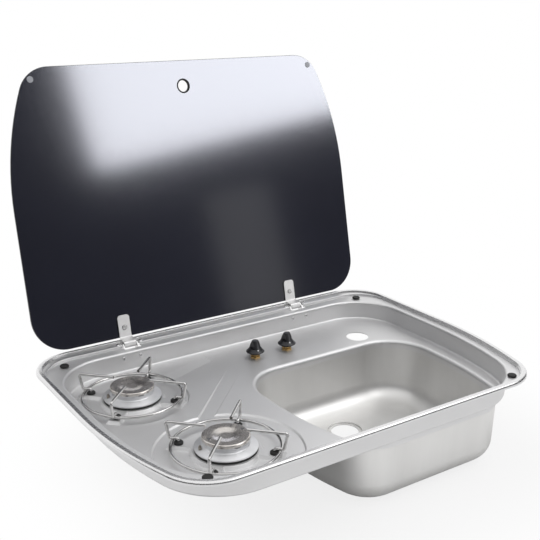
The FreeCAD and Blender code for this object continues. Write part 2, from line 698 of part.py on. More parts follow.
def primitive(kind, label, amounts, place, turn=Rotation()):
    made = doc.addObject("Part::" + kind, label)
    for prop, amount in amounts.items():
        setattr(made, prop, as_size(amount).value)
        bind(made, prop, amount)
    made.Placement = Placement(spot(*place), turn)
    for axis, amount in zip("xyz", place):
        bind(made, "Placement.Base." + axis, amount)
    return made


def joined(kind, label, things):
    made = doc.addObject("Part::" + kind, label)
    made.Label = label
    if kind == "Cut":
        made.Base, made.Tool = things
    elif kind == "Compound":
        made.Links = things
    else:
        made.Shapes = things
    return made


def sloped_bar(label, low, high, height, place, angle):
    """A bar with sloped faces: low and high hold its two ends and its two sides at each level."""
    amounts = {"Xmin": low[0], "Xmax": low[1], "Zmin": low[2], "Zmax": low[3], "Ymin": 0, "Ymax": height,
               "X2min": high[0], "X2max": high[1], "Z2min": high[2], "Z2max": high[3]}
    lay_down = Rotation(Vector(1, 0, 0), 90)
    return primitive("Wedge", label, amounts, place, Rotation(UP, angle) * lay_down)


def sunk_field(label, burner, bottom):
    """The sunk disc round one burner, with the channel that fades out towards the knobs."""
    x, y = burners[burner]
    slope = size("field_slope")
    depth = size("press_depth")
    radius = size("field_" + burner)
    half = size("channel_width") / 2
    length = size("channel_%s_length" % burner)
    start = (x + size("channel_%s_x" % burner), y + size("channel_%s_y" % burner), bottom)
    if burner == "front":
        x = x + size("field_shift")
        deep = (0, length - size("channel_front_fade"), slope - half, half - slope)
    else:
        deep = (0, length - slope, size("channel_rear_fade") - half, half - slope)
    disc = primitive("Cone", label + "_disc",
                     {"Radius1": radius - slope, "Radius2": radius, "Height": depth}, (x, y, bottom))
    channel = sloped_bar(label + "_channel", deep, (0, length, -half, half), depth, start,
                         size("channel_%s_angle" % burner).value)
    return joined("MultiFuse", label, [disc, channel])


def raised_cross(label, burner, bottom):
    """The raised disc under one burner, with the arms that carry the support feet."""
    x, y = burners[burner]
    slope = size("boss_slope")
    height = size("press_depth") + size("boss_rise")
    boss = size("boss_radius")
    reach = foot_reach + size("arm_margin")
    half = size("arm_width") / 2
    parts = [primitive("Cone", label + "_disc",
                       {"Radius1": boss + slope, "Radius2": boss, "Height": height}, (x, y, bottom))]
    foot = (-reach - slope, reach + slope, -half - slope, half + slope)
    top = (-reach, reach, -half, half)
    for angle in (45, 135):
        parts.append(sloped_bar("%s_arm_%d" % (label, angle), foot, top, height, (x, y, bottom), angle))
    return joined("MultiFuse", label, parts)


def build_tray():
    """The pressed top with the burner fields sunk in its floor, one sheet thickness all over."""
    shell = [press_tray()]
    cuts = []
    sunk_z = floor_z - size("press_depth")
    for name, (x, y) in burners.items():
        shell.append(sunk_field("bulge_" + name, name, sunk_z - steel))
        shell.append(raised_cross("boss_" + name, name, sunk_z))
        cuts.append(joined("Cut", "field_" + name, [sunk_field("sunk_" + name, name, sunk_z),
                                                    raised_cross("stand_" + name, name, sunk_z)]))
        cuts.append(raised_cross("hollow_" + name, name, sunk_z - steel))
        couple_x, couple_y = around(x, y, couple_reach, size("couple_angle"))
        for hole, radius, hole_x, hole_y in (("burner_hole_", size("burner_hole"), x, y),
                                             ("couple_hole_", couple_hole, couple_x, couple_y)):
            cuts.append(primitive("Cylinder", hole + name, {"Radius": radius, "Height": steel * 3},
                                  (hole_x, hole_y, burner_z - steel * 2)))
    return joined("Cut", "hob_tray",
                  [joined("MultiFuse", "tray_shell", shell), joined("MultiFuse", "tray_cuts", cuts)])


# Deep-drawn bowl, welded to the neck under the hob floor

def build_bowl():
    body = new_body("sink_bowl")

    def outline(name, plan):
        return draw_plan(new_sketch(body, name, (bowl_x, 0, neck_z)), plan)

    pad(body, outline("outside", grow(bowl_plan, steel)), neck_z - bowl_z + steel, reverse=True,
        draft=size("bowl_draft"))
    pocket(body, outline("inside", bowl_plan), neck_z - bowl_z, draft=size("bowl_draft"))
    round_edges(body, size("bowl_radius"), at_level(bowl_z))
    round_edges(body, size("bowl_radius") + steel, at_level(bowl_z - steel))
    seat = (bowl_x - size("drain_shift"), mouth_back - size("drain_inset"), bowl_z)
    pad(body, draw_circle(new_sketch(body, "seat_shell", seat), size("drain_seat") + steel),
        size("drain_sink") + steel, reverse=True)
    pocket(body, draw_circle(new_sketch(body, "seat", seat), size("drain_seat")), size("drain_sink"))
    round_edges(body, size("press_edge"), at_ring(size("drain_seat"), bowl_z))
    pocket(body, draw_circle(new_sketch(body, "drain", seat), size("drain_radius")),
           size("drain_sink") + steel * 2)
    return body


# Burners, with heights above the raised disc

def build_burner(name):
    x, y = burners[name]
    place = (x, y, burner_z)
    seal = size("seal_height")
    base_top = seal + size("base_height")
    head_top = base_top + size("head_height")
    cap_top = head_top + size("cap_thickness")
    base = size("base_radius")
    neck = size("neck_radius")
    bore = size("cup_bore")
    head = neck - size("head_step")

    seal_edge = base - size("run_gap")
    seal_bore = seal_edge - size("seal_width")
    turned("burner_seal_" + name,
           [(seal_bore, 0), (seal_edge, 0), (seal_edge, seal), (seal_bore, seal)], place)

    neck_z = base_top - size("neck_height")
    slant = size("neck_corner")
    skirt = turned("burner_base_" + name,
                   [(bore, seal), (base, seal), (base, seal + size("base_edge")),
                    (neck + slant, neck_z - slant), (neck, neck_z), (neck, base_top), (bore, base_top)], place)
    couple = new_sketch(skirt, "couple_hole", (0, 0, base_top))
    couple_x, couple_y = around(as_size(0), as_size(0), couple_reach, size("couple_angle"))
    pocket(skirt, draw_circle(couple, couple_hole, couple_x, couple_y), size("base_height"))

    plug = bore - size("run_gap")
    plug_z = base_top - size("head_plug")
    ring_bore = size("head_bore")
    ring = turned("burner_head_" + name,
                  [(ring_bore, plug_z), (plug, plug_z), (plug, base_top), (head, base_top), (head, head_top),
                   (ring_bore, head_top)], place)
    half_port = size("port_width") / 2
    port_z = head_top - size("port_depth")
    port = new_sketch(ring, "port", (0, 0, head + size("free_gap")), role="XZ_Plane")
    draw_polygon(port, [(-half_port, port_z), (half_port, port_z), (half_port, head_top),
                        (-half_port, head_top)])
    slot = pocket(ring, port, size("port_length"))
    pattern = ring.newObject("PartDesign::PolarPattern", ring.Name + "_ports")
    pattern.Originals = [slot]
    pattern.Axis = (port, ["V_Axis"])
    pattern.Angle = 360
    pattern.Occurrences = int(size("port_count").value)
    ring.Tip = pattern
    doc.recompute()

    build_cap(name, place, ring, head_top, cap_top)
    build_cup(name, place, seal, bore)


def build_cap(name, place, ring, head_top, cap_top):
    """Dished cap on the port ring, held by two screws."""
    x, y, z = place
    cap = size("cap_radius")
    plug = size("head_bore") - size("free_gap")
    plug_z = head_top - size("cap_plug")
    dish = size("dish_radius")
    dish_floor = size("dish_floor")
    dish_z = cap_top - size("dish_depth")
    lid = turned("burner_cap_" + name,
                 [(0, plug_z), (plug, plug_z), (plug, head_top), (cap, head_top), (cap, cap_top),
                  (dish, cap_top), (dish_floor, dish_z), (0, dish_z)], place)
    round_edges(lid, size("cap_round"), at_ring(cap, cap_top))
    for radius, level in ((dish, cap_top), (dish_floor, dish_z)):
        round_edges(lid, size("dish_round"), at_ring(radius, level))

    screw = size("cap_screw")
    grip = size("cap_screw_grip")
    pairs = []
    for side in sides.values():
        reach = size("screw_reach") * side
        shank = primitive("Cylinder", "cap_shank", {"Radius": screw, "Height": cap_top - head_top + grip},
                          (x + reach, y, z + head_top - grip))
        head = primitive("Cylinder", "cap_head",
                         {"Radius": size("cap_screw_head"), "Height": size("cap_screw_rise")},
                         (x + reach, y, z + cap_top))
        pairs.append(joined("MultiFuse", "cap_screw", [shank, head]))
    joined("Compound", "burner_screws_" + name, pairs)
    for part, top, depth in ((lid, cap_top, size("cap_thickness") * 2), (ring, head_top, grip)):
        holes = new_sketch(part, "screw_holes", (0, 0, top))
        for side in sides.values():
            draw_circle(holes, screw, size("screw_reach") * side, 0)
        pocket(part, holes, depth)


def build_cup(name, place, seal, bore):
    """Mixing cup hung through the floor, its tube, and the tab that holds the injector at its mouth."""
    under = -steel
    wall = size("cup_wall")
    tube = size("tube_radius")
    reach = size("tube_reach")
    axis = -size("tube_drop") - size("boss_rise")
    shelf = axis - tube
    bottom = shelf - size("cup_floor")
    flange = cup_collar + size("cup_flange")
    cup = turned("burner_cup_" + name,
                 [(0, bottom), (bore + wall, bottom), (bore + wall, under - wall), (flange, under - wall),
                  (flange, under), (cup_collar, under), (cup_collar, seal), (bore, seal),
                  (bore, bottom + wall), (0, bottom + wall)], place)
    outside = new_sketch(cup, "tube", (0, axis, 0), role="XZ_Plane")
    draw_polygon(outside, [(bore + wall / 2, 0), (reach, 0), (reach, tube), (bore + wall / 2, tube)])
    tab = new_sketch(cup, "tab", role="XZ_Plane")
    tab_gap = size("tab_gap")
    tab_steel = size("tab_steel")
    plate = reach + tab_gap
    plate_back = plate + tab_steel
    draw_polygon(tab, [(reach - tab_gap, bottom), (plate_back, bottom), (plate_back, axis + tube),
                       (plate, axis + tube), (plate, bottom + wall), (reach - tab_gap, bottom + wall)])
    revolve(cup, outside, axis="H_Axis")
    pad(cup, tab, size("tab_width"), middle=True)
    inside = new_sketch(cup, "tube_bore", (0, axis, 0), role="XZ_Plane")
    draw_polygon(inside, [(bore - wall, 0), (reach, 0), (reach, tube - wall), (bore - wall, tube - wall)])
    revolve(cup, inside, "Groove", axis="H_Axis")
    feed = size("feed_radius")
    nose = new_sketch(cup, "nose_hole", (0, axis, plate_back), role="YZ_Plane")
    pocket(cup, draw_circle(nose, feed + size("run_gap") * 2), tab_steel)

    x, y, z = place
    flange = size("injector_flange")
    length = size("injector_length")
    seat = size("injector_seat")
    sleeve = feed + size("feed_nut")
    pipe_bore = feed + size("run_gap")
    turned("injector_" + name,
           [(0, -tab_gap / 2), (feed / 2, -tab_gap / 2), (feed, -tab_steel * 2), (feed, 0), (feed * 2, 0),
            (feed * 2, flange), (sleeve, flange), (sleeve, length), (pipe_bore, length), (pipe_bore, seat),
            (0, seat)], (x + plate_back, y, z + axis), Rotation(Vector(0, 1, 0), 90))


# Wires and pipes: straight runs joined by arcs

def bent_wire(points, bend):
    edges = []
    start = points[0]
    for before, corner, after in zip(points, points[1:], points[2:]):
        back = (before - corner).normalize()
        ahead = (after - corner).normalize()
        half = back.getAngle(ahead) / 2
        if math.cos(half) < 0.001:
            continue
        inward = (back + ahead).normalize()
        first = corner + back * (bend / math.tan(half))
        last = corner + ahead * (bend / math.tan(half))
        crown = corner + inward * (bend / math.sin(half) - bend)
        edges.append(Part.LineSegment(start, first).toShape())
        edges.append(Part.Arc(first, crown, last).toShape())
        start = last
    edges.append(Part.LineSegment(start, points[-1]).toShape())
    return Part.Wire(edges)


def pipe(points, radius, bend):
    corners = [spot(*point) for point in points]
    ring = Part.Wire(Part.Circle(corners[0], corners[1] - corners[0], as_size(radius).value).toShape())
    return bent_wire(corners, as_size(bend).value).makePipeShell([ring], True, False)


def build_thermocouple(name, route):
    """Tip beside the burner head, and its lead to the tap's magnet unit along the stations of the route."""
    x, y = around(*burners[name], couple_reach, size("couple_angle"))
    radius = size("couple_radius").value
    tip = burner_z + size("couple_height")
    foot = burner_z - size("couple_foot")
    stem = Part.makeCylinder(radius, (tip - foot).value, spot(x, y, foot))
    nose = Part.makeCone(radius, radius / 2, size("couple_nose").value, spot(x, y, tip))
    end_x, end_y = route[-1]
    lead_top = foot - size("lead_loop")
    deepest = magnet_foot - size("lead_loop")
    slack = (lead_top - deepest) / len(route)
    points = [(x, y, foot), (x, y, lead_top)]
    points += [(px, py, lead_top - slack * number) for number, (px, py) in enumerate(route, start=1)]
    points.append((end_x, end_y, magnet_foot))
    lead = pipe(points, size("lead_radius"), size("feed_bend"))
    plain_feature("thermocouple_" + name, stem.fuse([nose, lead]).removeSplitter())


def build_support(name):
    """Wire ring with four bent fingers, their feet in rubber grommets on the raised arms."""
    x, y = burners[name]
    top = rim_top - size("support_drop")
    wire = size("wire_radius")
    corner = size("ring_radius") + size("corner_outset")
    ring_z = floor_z + size("ring_lift")
    shin_z = ring_z + size("shin_lift")
    ring = Part.makeTorus(size("ring_radius").value, wire.value, spot(x, y, ring_z))
    fingers = []
    for turn in (45, 135, 225, 315):
        finger = pipe([(size("tip_reach"), 0, top), (corner, 0, top),
                       (corner - size("corner_lean"), 0, ring_z + wire), (foot_reach, 0, shin_z),
                       (foot_reach, 0, burner_z + size("foot_lift"))], wire, wire * 1.5)
        finger.rotate(Vector(), UP, turn)
        finger.translate(spot(x, y, 0))
        fingers.append(finger)
    plain_feature("pan_support_" + name, ring.fuse(fingers).removeSplitter())

    hold = wire + size("run_gap")
    hold_z = size("foot_lift") - size("free_gap")
    height = size("grommet_height")
    outer = size("grommet_radius")
    edge = size("grommet_edge")
    cups = []
    for turn in (45, 135, 225, 315):
        cups.append(turned("grommet_%s_%d" % (name, turn),
                           [(0, 0), (outer, 0), (outer, height - edge), (outer - edge, height),
                            (hold, height), (hold, hold_z), (0, hold_z)],
                           (*around(x, y, foot_reach, as_size(turn)), burner_z)))
    joined("Compound", "support_grommets_" + name, cups)


# Gas taps, knobs, rail and feed pipes

def build_tap(side):
    place = (taps[side], knob_y, floor_z)
    gap = size("run_gap")
    play = size("free_gap")
    spindle = size("spindle_radius")
    neck = size("tap_neck")
    body_radius = size("tap_radius")
    bottom = -size("tap_depth")
    plug = size("plug_radius")
    shoulder = -size("tap_roof")
    neck_top = knob_lift + size("neck_overlap")
    tap = turned("tap_body_" + side,
                 [(spindle + gap, neck_top), (neck, neck_top), (neck, -steel), (body_radius, -steel),
                  (body_radius, bottom), (plug + gap, bottom), (plug + gap, shoulder),
                  (spindle + gap, shoulder)], place)
    boss_end = body_radius + size("tap_boss")
    boss_start = plug + size("tap_boss")
    inlet = new_sketch(tap, "inlet_boss", (0, -size("rail_drop"), -boss_start), role="XZ_Plane")
    pad(tap, draw_circle(inlet, size("branch_radius")), boss_end - boss_start, reverse=True)
    if side == "left":
        outlet = new_sketch(tap, "outlet_boss", (0, -size("tube_drop"), -boss_end), role="YZ_Plane")
    else:
        outlet = new_sketch(tap, "outlet_boss", (0, -size("tube_drop"), boss_start), role="XZ_Plane")
    pad(tap, draw_circle(outlet, size("feed_radius") + size("feed_nut")), boss_end - boss_start)

    nut = new_body("tap_nut_" + side)
    flat = size("nut_flats") / 2
    corner = size("nut_flats") / math.sqrt(3)
    hexagon = [(corner, 0), (corner / 2, flat), (corner / -2, flat), (-corner, 0), (corner / -2, -flat),
               (corner / 2, -flat)]
    pad(nut, draw_polygon(new_sketch(nut, "hexagon"), hexagon), size("nut_height"))
    thread = new_sketch(nut, "thread", (0, 0, size("nut_height")))
    pocket(nut, draw_circle(thread, neck), size("nut_height"))
    set_place(nut, place)

    magnet_end = bottom - size("magnet_length")
    magnet = size("magnet_radius")
    stub = size("magnet_stub")
    stub_z = magnet_end + size("magnet_stub_length")
    turned("magnet_unit_" + side,
           [(0, bottom), (magnet, bottom), (magnet, stub_z + size("magnet_taper")), (stub, stub_z),
            (stub, magnet_end), (0, magnet_end)], place)

    flat_x = spindle - size("spindle_flat")
    core = turned("tap_plug_" + side, [(0, bottom + play), (plug, bottom + play), (plug, shoulder - play),
                                       (0, shoulder - play)], place)
    pocket(core, half_disc(core, "key_hole", shoulder, spindle + gap, flat_x + gap), size("tap_depth"))

    stem = new_body("tap_spindle_" + side)
    stem_top = knob_lift + size("knob_height") - size("crown_wall")
    stem_foot = bottom + size("push_travel") + size("spindle_stand")
    pad(stem, half_disc(stem, "section", stem_foot, spindle, flat_x), stem_top - stem_foot)
    set_place(stem, place)

    build_knob(side, place, spindle, flat_x, neck, stem_top)


def half_disc(body, name, z, radius, flat_x):
    """A round section with one flat, as on a tap spindle."""
    sketch = new_sketch(body, name, (0, 0, z))
    edge = math.sqrt(radius.value ** 2 - flat_x.value ** 2)
    turn = math.acos(flat_x.value / radius.value)
    rim = Part.ArcOfCircle(Part.Circle(Vector(), UP, radius.value), turn, 2 * math.pi - turn)
    chord = Part.LineSegment(spot(flat_x, -edge, 0), spot(flat_x, edge, 0))
    sketch.addGeometry([rim, chord], False)
    sketch.addConstraint(Sketcher.Constraint("Coincident", 0, 2, 1, 1))
    sketch.addConstraint(Sketcher.Constraint("Coincident", 1, 2, 0, 1))
    sketch.addConstraint(Sketcher.Constraint("Coincident", 0, 3, -1, 1))
    sketch.addConstraint(Sketcher.Constraint("Vertical", 1))
    dimension(sketch, "Radius", (0,), radius)
    dimension(sketch, "DistanceX", (-1, 1, 1, 1), flat_x)
    return sketch


# Knob outline from its foot to its crown, as shares of its widest radius and of its height
KNOB_OUTLINE = [(0.635, 0), (1, 0.165), (0.985, 0.204), (0.847, 0.282), (0.693, 0.417), (0.555, 0.689),
                (0.4, 0.922), (0.343, 1)]


def build_knob(side, place, spindle, flat_x, neck, stem_top):
    """Knob with two grip flats, hollow over the tap's neck, pressed on the spindle."""
    low = knob_lift
    height = size("knob_height")
    top = low + height
    wide = size("knob_radius")
    outline = [(wide * across, low + height * up) for across, up in KNOB_OUTLINE]
    knob = turned("knob_" + side, [(0, low)] + outline + [(0, top)], place)
    grip = new_sketch(knob, "grip", (0, 0, wide), role="XZ_Plane")
    grip_z = low + size("grip_lift")
    half_grip = size("grip_width") / 2
    for edge, outside in ((half_grip, wide), (-half_grip, -wide)):
        draw_polygon(grip, [(edge, grip_z), (outside, grip_z), (outside, top), (edge, top)])
    pocket(knob, grip, wide * 2)
    hollow = new_sketch(knob, "neck_hollow", (0, 0, low))
    pocket(knob, draw_circle(hollow, neck + size("neck_gap")), size("push_travel") + size("hollow_spare"),
           reverse=True)
    pocket(knob, half_disc(knob, "stem_hole", low, spindle, flat_x), stem_top - low, reverse=True)


def build_gas_lines():
    """Rail behind the taps with its inlet pipe, and a feed pipe from each tap to its injector."""
    rail_y = knob_y + size("rail_offset")
    rail_z = floor_z - size("rail_drop")
    face = size("tap_radius") + size("tap_boss")
    first = taps["left"] - size("rail_overhang")
    last = taps["right"] + size("rail_overhang")
    parts = [primitive("Cylinder", "rail_tube", {"Radius": size("rail_radius"), "Height": last - first},
                       (first, rail_y, rail_z), Rotation(Vector(0, 1, 0), 90))]
    for x in taps.values():
        parts.append(primitive("Cylinder", "rail_branch",
                               {"Radius": size("branch_radius"), "Height": size("rail_offset") - face},
                               (x, knob_y + face, rail_z), Rotation(Vector(1, 0, 0), -90)))
    inlet_x = last + size("inlet_run")
    inlet = pipe([(last - steel, rail_y, rail_z), (inlet_x, rail_y, rail_z),
                  (inlet_x, rail_y, rail_z - size("inlet_drop"))], size("pipe_radius"), size("inlet_bend"))
    parts.append(plain_feature("inlet_pipe", inlet))
    joined("MultiFuse", "gas_rail", parts)

    feed_z = floor_z - size("tube_drop")
    bend = size("feed_bend")
    jog = size("feed_jog")
    entry = size("tube_reach") + size("tab_gap") + size("tab_steel") + size("injector_seat")
    entry = entry + size("free_gap")
    rear_x, rear_y = burners["rear"]
    front_x, front_y = burners["front"]
    rear_end = rear_x + entry
    front_end = front_x + entry
    aisle_x = mouth_left - size("aisle")
    aisle_y = mouth_back + size("pipe_deck")
    rear = [(taps["left"] - face, knob_y, feed_z), (rear_end + jog * 2, knob_y, feed_z),
            (rear_end + jog, rear_y, feed_z), (rear_end, rear_y, feed_z)]
    front = [(taps["right"], knob_y - face, feed_z), (taps["right"], aisle_y, feed_z),
             (aisle_x, aisle_y, feed_z), (aisle_x, front_y, feed_z), (front_end, front_y, feed_z)]
    plain_feature("feed_pipe_rear", pipe(rear, size("feed_radius"), bend))
    plain_feature("feed_pipe_front", pipe(front, size("feed_radius"), bend))


# Lid and its hinges, shaped closed and then swung open about the hinge axis

swing = Placement(Vector(), Rotation(Vector(1, 0, 0), -size("open_angle").value), spot(0, pin_y, pin_z))


def on_lid(thing, place=(0, 0, 0)):
    thing.Placement = swing.multiply(Placement(spot(*place), Rotation()))
    return thing


def build_lid():
    glass_z = rim_top - size("lid_lift")
    glass = size("glass")
    body = new_body("glass_lid")
    pad(body, draw_plan(new_sketch(body, "outline", (0, 0, glass_z)), lid_plan), glass)
    for level in (glass_z, glass_z + glass):
        round_edges(body, size("glass_edge"), on_outline(lid_plan, 0, level), kind="Chamfer")
    holes = new_sketch(body, "holes", (0, 0, glass_z + glass))
    draw_circle(holes, size("finger_radius"), 0, lid_plan.front + size("finger_inset"))
    screw_y = hinge_edge - size("strap_screw")
    for hinge in hinges.values():
        draw_circle(holes, size("screw_radius") + size("free_gap"), hinge, screw_y)
    pocket(body, holes, glass)
    on_lid(body)

    pads = []
    reach = lid_plan.front_corner - size("pad_inset") - size("pad_radius")
    pad_x, pad_y = around(*nose_middle(lid_plan), reach, size("pad_angle"))
    for side, sign in sides.items():
        disc = new_body("lid_pad_" + side)
        pad(disc, draw_circle(new_sketch(disc, "disc"), size("pad_radius")), size("pad_height"))
        pads.append(on_lid(disc, (pad_x * sign, pad_y, glass_z - size("pad_height"))))
    joined("Compound", "lid_pads", pads)

    for side, hinge in hinges.items():
        build_strap(side, hinge, glass_z, screw_y)


def build_strap(side, hinge, glass_z, screw_y):
    width = size("strap_width")
    leaf = size("strap_steel")
    screw = size("screw_radius")
    top = glass_z - size("gasket")
    middle = (top - leaf / 2).value
    free_end = hinge_edge - size("strap_length")
    flat_end = hinge_edge - size("strap_flat")
    left = hinge - width / 2
    axis = spot(left, pin_y, pin_z)
    barrel = size("pin_radius") + size("run_gap") + size("barrel_wall")
    heel = axis.y + barrel.value - leaf.value / 2
    dip = axis.z - size("strap_dip").value
    elbow = (flat_end + size("strap_elbow")).value
    stations = [(flat_end.value - leaf.value, middle), (elbow, middle),
                (axis.y - size("strap_heel").value, dip), (heel, dip), (heel, axis.z)]
    neck_path = bent_wire([Vector(axis.x, y, z) for y, z in stations], size("strap_bend").value)
    section = Part.Face(neck_path.makeOffset2D(leaf.value / 2, 2, False, False, True))
    across = Vector(width.value, 0, 0)
    leaf_box = Part.makeBox(width.value, (flat_end - free_end).value, leaf.value,
                            spot(left, free_end, top - leaf))
    ends = [edge for edge in leaf_box.Edges
            if abs(edge.BoundBox.YMax - free_end.value) < 0.01 and edge.BoundBox.ZLength > leaf.value / 2]
    leaf_box = leaf_box.makeFillet(size("strap_corner").value, ends)
    tube = Part.makeCylinder(barrel.value, width.value, axis, Vector(1, 0, 0))
    pin_bore = size("pin_radius") + size("run_gap")
    bore = Part.makeCylinder(pin_bore.value, width.value, axis, Vector(1, 0, 0))
    hole = Part.makeCylinder(screw.value, leaf.value, spot(hinge, screw_y, top - leaf))
    strap = leaf_box.fuse([section.extrude(across), tube]).cut(bore).cut(hole).removeSplitter()
    on_lid(plain_feature("hinge_strap_" + side, strap))

    gasket = new_body("strap_gasket_" + side)
    margin = size("gasket_inset")
    sheet_points = [(left + margin, free_end + margin), (left + width - margin, free_end + margin),
                    (left + width - margin, flat_end), (left + margin, flat_end)]
    pad(gasket, draw_polygon(new_sketch(gasket, "outline", (0, 0, top)), sheet_points), size("gasket"))
    gasket_hole = new_sketch(gasket, "hole", (hinge, screw_y, glass_z))
    pocket(gasket, draw_circle(gasket_hole, screw), size("gasket"))
    on_lid(gasket)

    stack = size("strap_steel") + size("gasket") + size("glass")
    rise = stack + size("lid_nut") - steel
    head = size("screw_head")
    rim = size("screw_head_radius")
    bolt = turned("strap_screw_" + side,
                  [(0, -head), (size("screw_crown"), -head), (rim, head / -3), (rim, 0), (screw, 0),
                   (screw, rise), (0, rise)])
    near = screw * 0.2
    far = screw * 1.1
    cross = [(far, -near), (far, near), (near, near), (near, far), (-near, far), (-near, near),
             (-far, near), (-far, -near), (-near, -near), (-near, -far), (near, -far), (near, -near)]
    pocket(bolt, draw_polygon(new_sketch(bolt, "cross", (0, 0, -head)), cross), head / 2, reverse=True)
    on_lid(bolt, (hinge, screw_y, top - leaf))
    crown = stack + size("lid_nut")
    nut_radius = size("nut_radius")
    dome = size("nut_dome")
    nut = turned("strap_nut_" + side,
                 [(screw, stack), (nut_radius, stack), (nut_radius, crown - dome), (nut_radius - dome, crown),
                  (0, crown), (0, rise), (screw, rise)])
    on_lid(nut, (hinge, screw_y, top - leaf))


# Hinge brackets, pins and rivets under the rim

def build_bracket(side, hinge):
    """Bracket riveted to the well's back wall and the shelf, with the pin in its two cheeks."""
    leaf = size("strap_steel")
    wall_y = well_plan.back + steel
    top = ledge_under - (size("well_edge") - steel) - size("free_gap")
    foot = wall_rivet_z - size("leg_length")
    pin = size("pin_radius")
    eye = pin + size("eye_wall")
    margin = size("tab_margin")
    body = new_body("hinge_bracket_" + side)
    leg = new_sketch(body, "leg", (0, 0, -wall_y), role="XZ_Plane")
    leg_end = wall_rivet_offsets[0] - margin - steel
    leg_points = [(leg_end, foot), (cheek_outer, foot), (cheek_outer, top), (leg_end, top)]
    pad(body, draw_polygon(leg, leg_points), leaf, reverse=True)
    cheek_points = [(wall_y, foot), (pin_y, pin_z - eye), (pin_y, pin_z + eye),
                    (slot_front + size("cheek_slant"), pin_z + eye), (slot_front + size("cheek_front"), top),
                    (wall_y, top)]
    for name, start in (("cheek_a", -cheek_outer), ("cheek_b", cheek_inner)):
        pad(body, draw_polygon(new_sketch(body, name, (0, 0, start), role="YZ_Plane"), cheek_points), leaf)
        eye_sketch = new_sketch(body, name + "_eye", (pin_y, pin_z, start), role="YZ_Plane")
        pad(body, draw_circle(eye_sketch, eye), leaf)
    wing_front = shelf_rivet_y - margin
    wing_back = shelf_rivet_y + margin
    for name, low, high in (("wing_a", shelf_rivet_offsets[0] - margin, -cheek_inner),
                            ("wing_b", cheek_inner, shelf_rivet_offsets[1] + margin)):
        wing = new_sketch(body, name, (0, 0, shelf_under - leaf))
        wing_points = [(low, wing_front), (high, wing_front), (high, wing_back), (low, wing_back)]
        pad(body, draw_polygon(wing, wing_points), leaf)
    eye_hole = new_sketch(body, "pin_hole", (pin_y, pin_z, cheek_outer), role="YZ_Plane")
    pocket(body, draw_circle(eye_hole, pin), cheek_outer * 2)
    shelf_holes = new_sketch(body, "shelf_rivets", (0, 0, shelf_under))
    for offset in shelf_rivet_offsets:
        draw_circle(shelf_holes, size("rivet_radius"), offset, shelf_rivet_y)
    pocket(body, shelf_holes, leaf)
    wall_holes = new_sketch(body, "wall_rivets", (0, 0, -wall_y), role="XZ_Plane")
    for offset in wall_rivet_offsets:
        draw_circle(wall_holes, size("rivet_radius"), offset, wall_rivet_z)
    pocket(body, wall_holes, leaf)
    set_place(body, (hinge, 0, 0))

    end = cheek_outer + size("pin_head")
    head = size("pin_head_radius")
    turned("hinge_pin_" + side,
           [(0, -end), (head, -end), (head, -cheek_outer), (pin, -cheek_outer), (pin, cheek_outer),
            (head, cheek_outer), (head, end), (0, end)], (hinge, pin_y, pin_z), Rotation(Vector(0, 1, 0), 90))


def build_rivets():
    radius = size("rivet_radius")
    grip = steel + size("strap_steel")
    tail = size("rivet_tail")
    head = size("rivet_head")
    dome = size("rivet_dome")
    tail_edge = size("rivet_tail_radius")
    profile = [(0, -tail), (tail_edge, -tail), (tail_edge, 0), (radius, 0), (radius, grip), (head, grip),
               (head * 0.8, grip + dome * 0.75), (0, grip + dome)]
    rivets = []
    for side, hinge in hinges.items():
        for number, offset in enumerate(shelf_rivet_offsets):
            rivets.append(turned("shelf_rivet_%s_%d" % (side, number), profile,
                                 (hinge + offset, shelf_rivet_y, shelf_z - grip)))
        for number, offset in enumerate(wall_rivet_offsets):
            rivets.append(turned("wall_rivet_%s_%d" % (side, number), profile,
                                 (hinge + offset, well_plan.back + grip, wall_rivet_z),
                                 Rotation(Vector(1, 0, 0), 90)))
    joined("Compound", "hinge_rivets", rivets)


def build_bumpers():
    radius = size("bumper_radius")
    foot = size("bumper_foot")
    edge = size("bumper_edge")
    foot_z = size("bumper_foot_height")
    back_corner = well_plan.back_corner
    corners = {"back": (well_plan.half_width - back_corner, well_plan.back - back_corner, back_corner),
               "front": (*nose_middle(well_plan), well_plan.front_corner)}
    for row, (middle_x, middle_y, corner) in corners.items():
        height = size("bumper_%s_height" % row)
        reach = corner + size("bumper_%s_stand" % row)
        x, y = around(middle_x, middle_y, reach, size("bumper_%s_angle" % row))
        for side, sign in sides.items():
            turned("lid_bumper_%s_%s" % (row, side),
                   [(0, 0), (foot, 0), (foot, foot_z), (radius, foot_z + size("bumper_flare")),
                    (radius, height - edge), (radius - edge, height), (0, height)], (x * sign, y, ledge_z))


build_tray()
build_bowl()
for burner_name in burners:
    build_burner(burner_name)
    build_support(burner_name)
build_thermocouple("rear", [(taps["left"], knob_y)])
lead_corner = (mouth_left - size("lead_aisle"), mouth_back + size("pipe_deck"))
build_thermocouple("front", [lead_corner, (taps["right"], knob_y)])
for tap_side in taps:
    build_tap(tap_side)
build_gas_lines()
build_lid()
for hinge_side, hinge_place in hinges.items():
    build_bracket(hinge_side, hinge_place)
build_rivets()
build_bumpers()
doc.recompute()

NODES = ["hob_tray", "sink_bowl", "hinge_rivets", "gas_rail", "feed_pipe_rear", "feed_pipe_front", "glass_lid",
         "lid_pads"]
NODES += [stem + "_" + burner_name for burner_name in burners
          for stem in ("burner_seal", "burner_base", "burner_head", "burner_cap", "burner_screws", "burner_cup",
                       "injector", "thermocouple", "pan_support", "support_grommets")]
NODES += [stem + "_" + side for side in sides
          for stem in ("tap_body", "tap_nut", "magnet_unit", "tap_plug", "tap_spindle", "knob", "hinge_bracket",
                       "hinge_pin", "hinge_strap", "strap_gasket", "strap_screw", "strap_nut",
                       "lid_bumper_back", "lid_bumper_front")]

